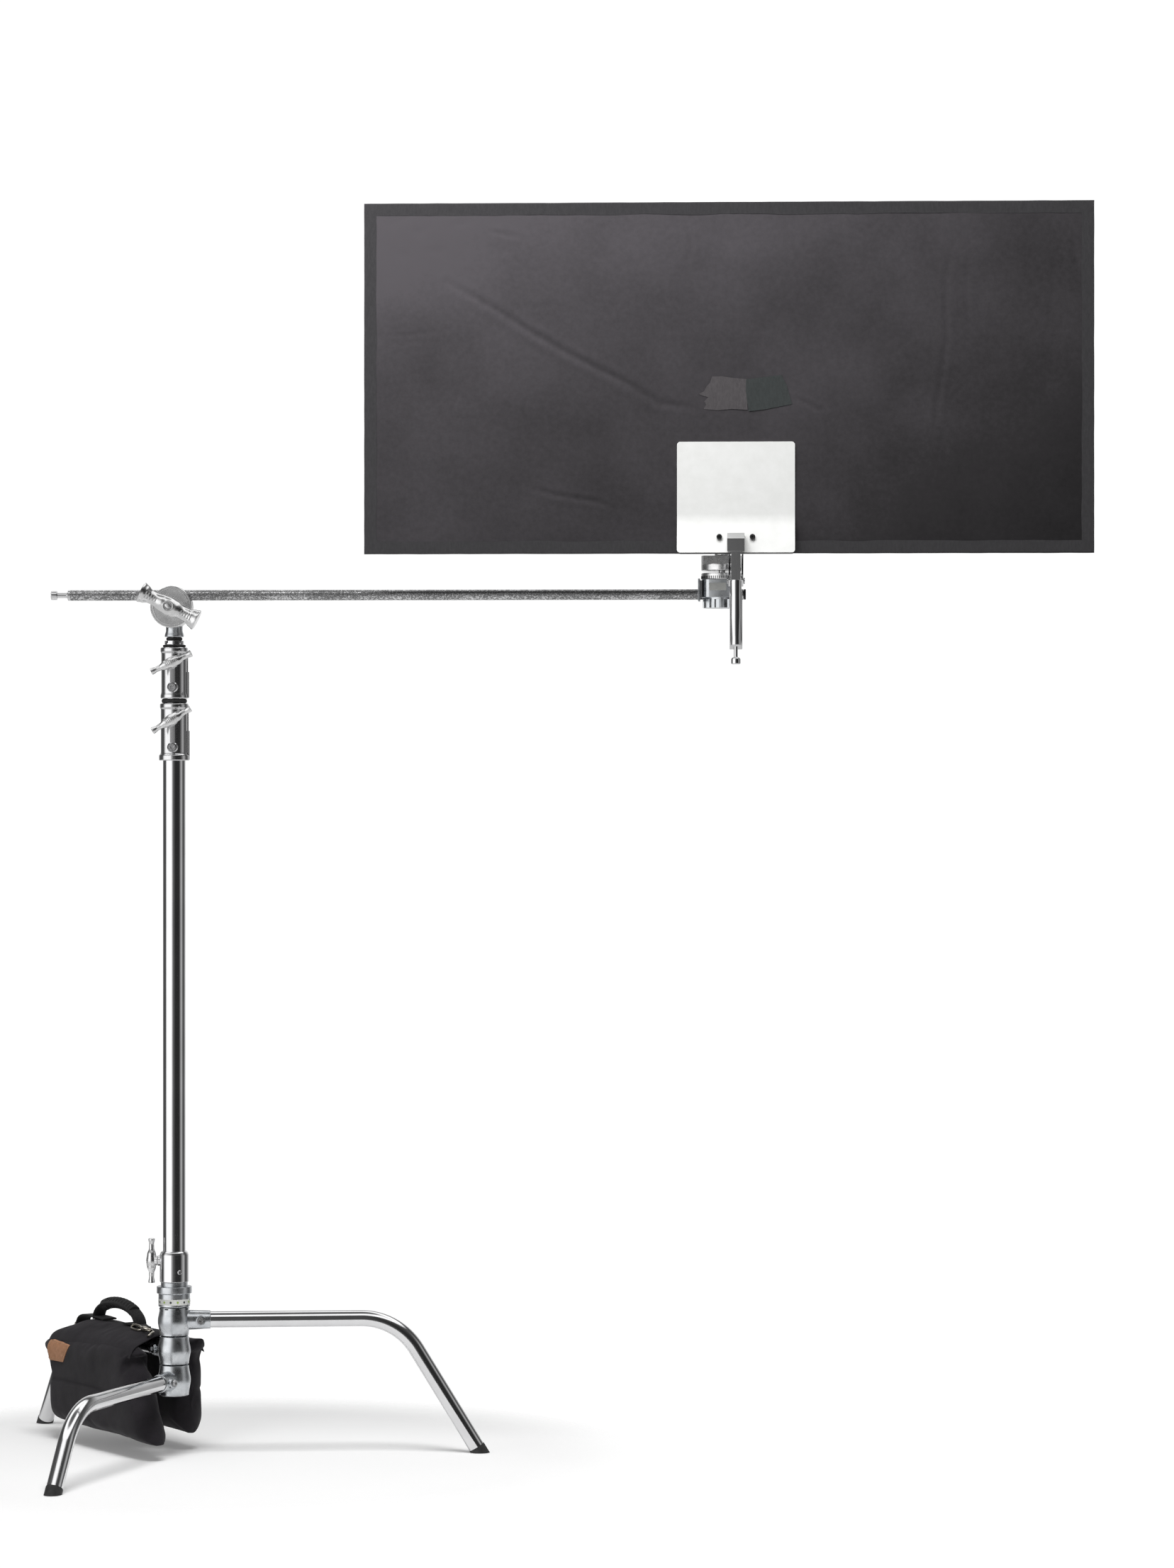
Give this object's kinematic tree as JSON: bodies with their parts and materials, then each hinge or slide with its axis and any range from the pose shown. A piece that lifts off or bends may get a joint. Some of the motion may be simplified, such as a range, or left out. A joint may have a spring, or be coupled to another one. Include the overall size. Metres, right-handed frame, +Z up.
{
  "type": "c stand",
  "caption": "Grip stand with swinging sloped legs, telescoping column and grip arm; a plate clamp holds a flat board and a sandbag weighs down the rear leg.",
  "frame": {"origin": "on the floor, under the middle of the whole box; the column stands 565 mm to the left (-X) of it", "axes": "+Z up the column, +X along the grip arm towards the board, +Y to the back"},
  "size_m": [1.674, 0.7833, 1.912],
  "materials": {
    "chrome": "polished",
    "worn_chrome": "satin",
    "cast_alloy": "satin",
    "black_steel": "satin",
    "rubber": "matte",
    "white_paint": "satin",
    "black_board": "matte",
    "black_canvas": "matte",
    "nickel_hook": "polished",
    "tan_leather": "matte",
    "white_band": "satin"
  },
  "bodies": {
    "base": {"king_tube": "chrome", "base_sleeve": "cast_alloy", "middle_hub": "cast_alloy", "rear_leg": "chrome", "rear_foot": "rubber", "rear_leg_bolt": "chrome"},
    "lock_ring": {"lock_ring": "cast_alloy"},
    "front_leg": {"bottom_hub": "cast_alloy", "front_leg": "chrome", "front_foot": "rubber", "front_leg_bolt": "chrome"},
    "right_leg": {"top_hub": "cast_alloy", "right_leg": "chrome", "right_foot": "rubber", "right_leg_bolt": "chrome"},
    "sandbag": {"sandbag_front_pouch": "black_canvas", "sandbag_rear_pouch": "black_canvas", "sandbag_saddle": "black_canvas", "sandbag_handle": "black_canvas", "sandbag_snap_hook": "nickel_hook"},
    "column_bush": {"column_bush": "cast_alloy"},
    "column": {"column_collar": "chrome", "column_tube": "chrome", "lower_casting": "cast_alloy", "lower_clamp_bolt": "chrome"},
    "column_knob": {"column_knob": "cast_alloy"},
    "lower_riser_knob": {"lower_riser_knob": "cast_alloy"},
    "first_riser": {"first_riser_tube": "chrome", "upper_casting": "cast_alloy", "upper_clamp_bolt": "chrome", "bumper_ring": "rubber"},
    "upper_riser_knob": {"upper_riser_knob": "cast_alloy"},
    "second_riser": {"second_riser_tube": "chrome", "top_pin": "chrome", "lower_top_ring": "rubber", "castellated_bush": "chrome", "upper_top_ring": "rubber"},
    "grip_head": {"head_body": "cast_alloy", "head_bolt": "chrome"},
    "head_jaws": {"head_inner_jaw": "cast_alloy", "head_outer_jaw": "cast_alloy"},
    "head_handle": {"head_t_handle": "cast_alloy"},
    "arm": {"arm_tube": "worn_chrome", "arm_stud": "chrome", "arm_end_cap": "rubber"},
    "end_head": {"end_head_body": "cast_alloy", "end_head_bolt": "chrome"},
    "end_jaws": {"end_lower_jaw": "cast_alloy", "end_upper_jaw": "cast_alloy"},
    "end_handle": {"end_t_handle": "cast_alloy"},
    "clamp": {"clamp_frame": "chrome", "clamp_pivot": "black_steel", "front_plate": "white_paint", "front_plate_screw_left": "black_steel", "front_plate_screw_right": "black_steel"},
    "rear_jaw": {"rear_jaw": "chrome", "rear_plate": "white_paint"},
    "release_lever": {"release_lever": "chrome"},
    "adjusting_screw": {"adjusting_screw": "chrome"},
    "board": {"board": "black_board"}
  },
  "joints": [
    {"name": "lock_ring_turn", "type": "hinge", "parent": "base", "child": "lock_ring", "pos_m": [-0.5652, 0.018, 0.255], "axis": [0, 0, 1], "range_deg": [0, 40]},
    {"name": "front_leg_fold", "type": "hinge", "parent": "base", "child": "front_leg", "pos_m": [-0.5652, 0.018, 0.117], "axis": [0, 0, 1], "range_deg": [0, 110]},
    {"name": "right_leg_fold", "type": "hinge", "parent": "base", "child": "right_leg", "pos_m": [-0.5652, 0.018, 0.209], "axis": [0, 0, 1], "range_deg": [0, 95]},
    {"name": "sandbag_lift", "type": "slide", "parent": "base", "child": "sandbag", "axis": [-0.3339, 0.4664, 0.8192], "range_m": [0, 0.3]},
    {"name": "column_lift", "type": "slide", "parent": "base", "child": "column_bush", "axis": [0, 0, 1], "range_m": [0, 0.12]},
    {"name": "column_swivel", "type": "hinge", "parent": "column_bush", "child": "column", "pos_m": [-0.5652, 0.018, 0.29], "axis": [0, 0, 1], "continuous": true},
    {"name": "column_knob_turn", "type": "hinge", "parent": "column", "child": "column_knob", "pos_m": [-0.6002, 0.018, 0.3], "axis": [-1, 0, 0], "range_deg": [-180, 180]},
    {"name": "lower_riser_knob_turn", "type": "hinge", "parent": "column", "child": "lower_riser_knob", "pos_m": [-0.5652, -0.017, 1.1315], "axis": [0, -1, 0], "range_deg": [-180, 180]},
    {"name": "first_riser_slide", "type": "slide", "parent": "column", "child": "first_riser", "axis": [0, 0, 1], "range_m": [0, 0.69]},
    {"name": "upper_riser_knob_turn", "type": "hinge", "parent": "first_riser", "child": "upper_riser_knob", "pos_m": [-0.5652, -0.017, 1.219], "axis": [0, -1, 0], "range_deg": [-180, 180]},
    {"name": "second_riser_slide", "type": "slide", "parent": "first_riser", "child": "second_riser", "axis": [0, 0, 1], "range_m": [0, 0.69]},
    {"name": "head_swivel", "type": "hinge", "parent": "second_riser", "child": "grip_head", "pos_m": [-0.5652, 0.018, 1.28], "axis": [0, 0, 1], "continuous": true},
    {"name": "head_jaw_tilt", "type": "hinge", "parent": "grip_head", "child": "head_jaws", "pos_m": [-0.5652, -0.009, 1.304], "axis": [0, -1, 0], "range_deg": [-45, 60]},
    {"name": "head_handle_turn", "type": "hinge", "parent": "grip_head", "child": "head_handle", "pos_m": [-0.5652, -0.042, 1.304], "axis": [0, -1, 0], "range_deg": [-180, 180]},
    {"name": "arm_slide", "type": "slide", "parent": "head_jaws", "child": "arm", "axis": [1, 0, 0], "range_m": [-0.2, 0.12]},
    {"name": "arm_roll", "type": "hinge", "parent": "arm", "child": "end_head", "pos_m": [0.2768, -0.009, 1.322], "axis": [1, 0, 0], "range_deg": [-60, 60]},
    {"name": "end_jaw_turn", "type": "hinge", "parent": "end_head", "child": "end_jaws", "pos_m": [0.2768, -0.009, 1.356], "axis": [0, 0, 1], "range_deg": [-60, 150]},
    {"name": "end_handle_turn", "type": "hinge", "parent": "end_jaws", "child": "end_handle", "pos_m": [0.2768, -0.009, 1.39], "axis": [0, 0, 1], "range_deg": [-15, 15]},
    {"name": "clamp_pin_roll", "type": "hinge", "parent": "end_jaws", "child": "clamp", "pos_m": [0.2988, -0.009, 1.356], "axis": [0, -1, 0], "range_deg": [-20, 12]},
    {"name": "rear_jaw_open", "type": "hinge", "parent": "clamp", "child": "rear_jaw", "pos_m": [0.2988, -0.088, 1.339], "axis": [-1, 0, 0], "range_deg": [0, 11]},
    {"name": "release_lever_swing", "type": "hinge", "parent": "clamp", "child": "release_lever", "pos_m": [0.2988, -0.085, 1.318], "axis": [1, 0, 0], "range_deg": [0, 30.5]},
    {"name": "adjusting_screw_turn", "type": "hinge", "parent": "clamp", "child": "adjusting_screw", "pos_m": [0.2988, -0.103, 1.218], "axis": [0, 0, 1], "range_deg": [-180, 180]},
    {"name": "board_lift", "type": "slide", "parent": "clamp", "child": "board", "axis": [0, 0, 1], "range_m": [0, 0.25]}
  ],
  "couplings": [
    {"joint": "release_lever_swing", "follows": "rear_jaw_open", "ratio": 2.7}
  ]
}
